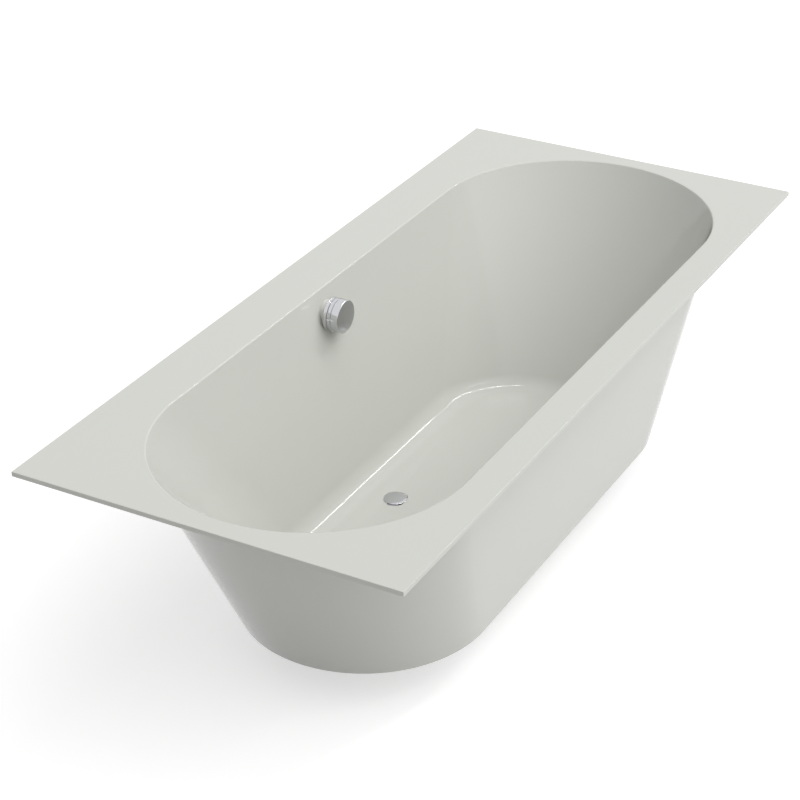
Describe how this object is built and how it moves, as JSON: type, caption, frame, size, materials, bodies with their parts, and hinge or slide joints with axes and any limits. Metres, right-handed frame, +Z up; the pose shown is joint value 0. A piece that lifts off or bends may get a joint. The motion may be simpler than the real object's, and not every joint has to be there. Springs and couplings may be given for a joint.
{
  "type": "footed bathtub",
  "caption": "Oblong rimmed bath with an oval sloping basin, a tapered outer skin, low levelling feet and a knob-worked waste and overflow.",
  "frame": {"origin": "ground level under the middle of the rim, with the feet at their lowest setting", "axes": "+X along the bath towards its foot end (away from the pictured near end), +Y towards the long side with the knob, +Z up"},
  "size_m": [1.8, 0.8, 0.545],
  "materials": {
    "acrylic": "warm white gloss acrylic, smooth",
    "chrome": "bright chrome plate",
    "zinc_steel": "zinc plated steel, satin",
    "nut_steel": "zinc plated nuts, satin",
    "board": "raw pressed board",
    "white_plastic": "white moulded plastic",
    "grey_plastic": "grey moulded plastic",
    "black_rubber": "black rubber",
    "white_rubber": "off-white soft rubber"
  },
  "bodies": {
    "bath": {"basin": "acrylic", "outer_skin": "acrylic", "base_board": "board", "leg_rail_head": "zinc_steel", "leg_rail_foot": "zinc_steel", "waste_flange": "chrome", "waste_gasket": "black_rubber", "waste_body": "white_plastic", "lever_pin": "zinc_steel", "trap_body": "white_plastic", "trap_lid": "grey_plastic", "trap_lid_seal": "black_rubber", "union_nut": "white_plastic", "union_seal": "black_rubber", "outlet_nut": "white_plastic", "outlet_seal": "black_rubber", "outlet_bend": "white_plastic", "overflow_flange": "zinc_steel", "inner_gasket": "white_rubber", "wall_spacer": "black_rubber", "outer_gasket": "black_rubber", "overflow_elbow": "white_plastic", "flange_screw_left": "zinc_steel", "flange_screw_right": "zinc_steel", "overflow_rosette": "chrome", "overflow_hose": "white_plastic", "hose_nut_upper": "white_plastic", "hose_nut_lower": "white_plastic", "control_cable": "black_rubber", "lock_nut_head_front": "nut_steel", "rail_screw_head_front": "zinc_steel", "lock_nut_head_back": "nut_steel", "rail_screw_head_back": "zinc_steel", "lock_nut_foot_front": "nut_steel", "rail_screw_foot_front": "zinc_steel", "lock_nut_foot_back": "nut_steel", "rail_screw_foot_back": "zinc_steel"},
    "knob_set": {"knob": "chrome", "drive_shaft": "zinc_steel", "cable_wheel": "grey_plastic"},
    "plug_set": {"plug_cap": "chrome", "plug_seal": "black_rubber", "plug_stem": "zinc_steel"},
    "lever": {"lift_lever": "zinc_steel"},
    "pull_wire_end": {"pull_wire": "zinc_steel"},
    "foot_head_front": {"foot_spindle_head_front": "zinc_steel", "foot_pad_head_front": "grey_plastic"},
    "foot_head_back": {"foot_spindle_head_back": "zinc_steel", "foot_pad_head_back": "grey_plastic"},
    "foot_foot_front": {"foot_spindle_foot_front": "zinc_steel", "foot_pad_foot_front": "grey_plastic"},
    "foot_foot_back": {"foot_spindle_foot_back": "zinc_steel", "foot_pad_foot_back": "grey_plastic"}
  },
  "joints": [
    {"name": "knob_turn", "type": "hinge", "parent": "bath", "child": "knob_set", "pos_m": [-0.015, 0.2432, 0.49], "axis": [0, -1, 0], "range_deg": [0, 90]},
    {"name": "plug_lift", "type": "slide", "parent": "bath", "child": "plug_set", "axis": [0, 0, 1], "range_m": [0, 0.01]},
    {"name": "lever_swing", "type": "hinge", "parent": "bath", "child": "lever", "pos_m": [-0.04907, 0.08098, 0.0608], "axis": [0.766, 0.6428, 0], "range_deg": [0, 32.82]},
    {"name": "wire_slide", "type": "slide", "parent": "bath", "child": "pull_wire_end", "axis": [-0.6428, 0.766, 0], "range_m": [0, 0.01017]},
    {"name": "foot_screw_head_front", "type": "slide", "parent": "bath", "child": "foot_head_front", "axis": [0, 0, -1], "range_m": [0, 0.025]},
    {"name": "foot_screw_head_back", "type": "slide", "parent": "bath", "child": "foot_head_back", "axis": [0, 0, -1], "range_m": [0, 0.025]},
    {"name": "foot_screw_foot_front", "type": "slide", "parent": "bath", "child": "foot_foot_front", "axis": [0, 0, -1], "range_m": [0, 0.025]},
    {"name": "foot_screw_foot_back", "type": "slide", "parent": "bath", "child": "foot_foot_back", "axis": [0, 0, -1], "range_m": [0, 0.025]}
  ],
  "couplings": [
    {"joint": "wire_slide", "follows": "knob_turn", "m_per_rad": 0.006474},
    {"joint": "plug_lift", "follows": "knob_turn", "m_per_rad": 0.006366},
    {"joint": "lever_swing", "follows": "knob_turn", "ratio": 0.36463}
  ]
}
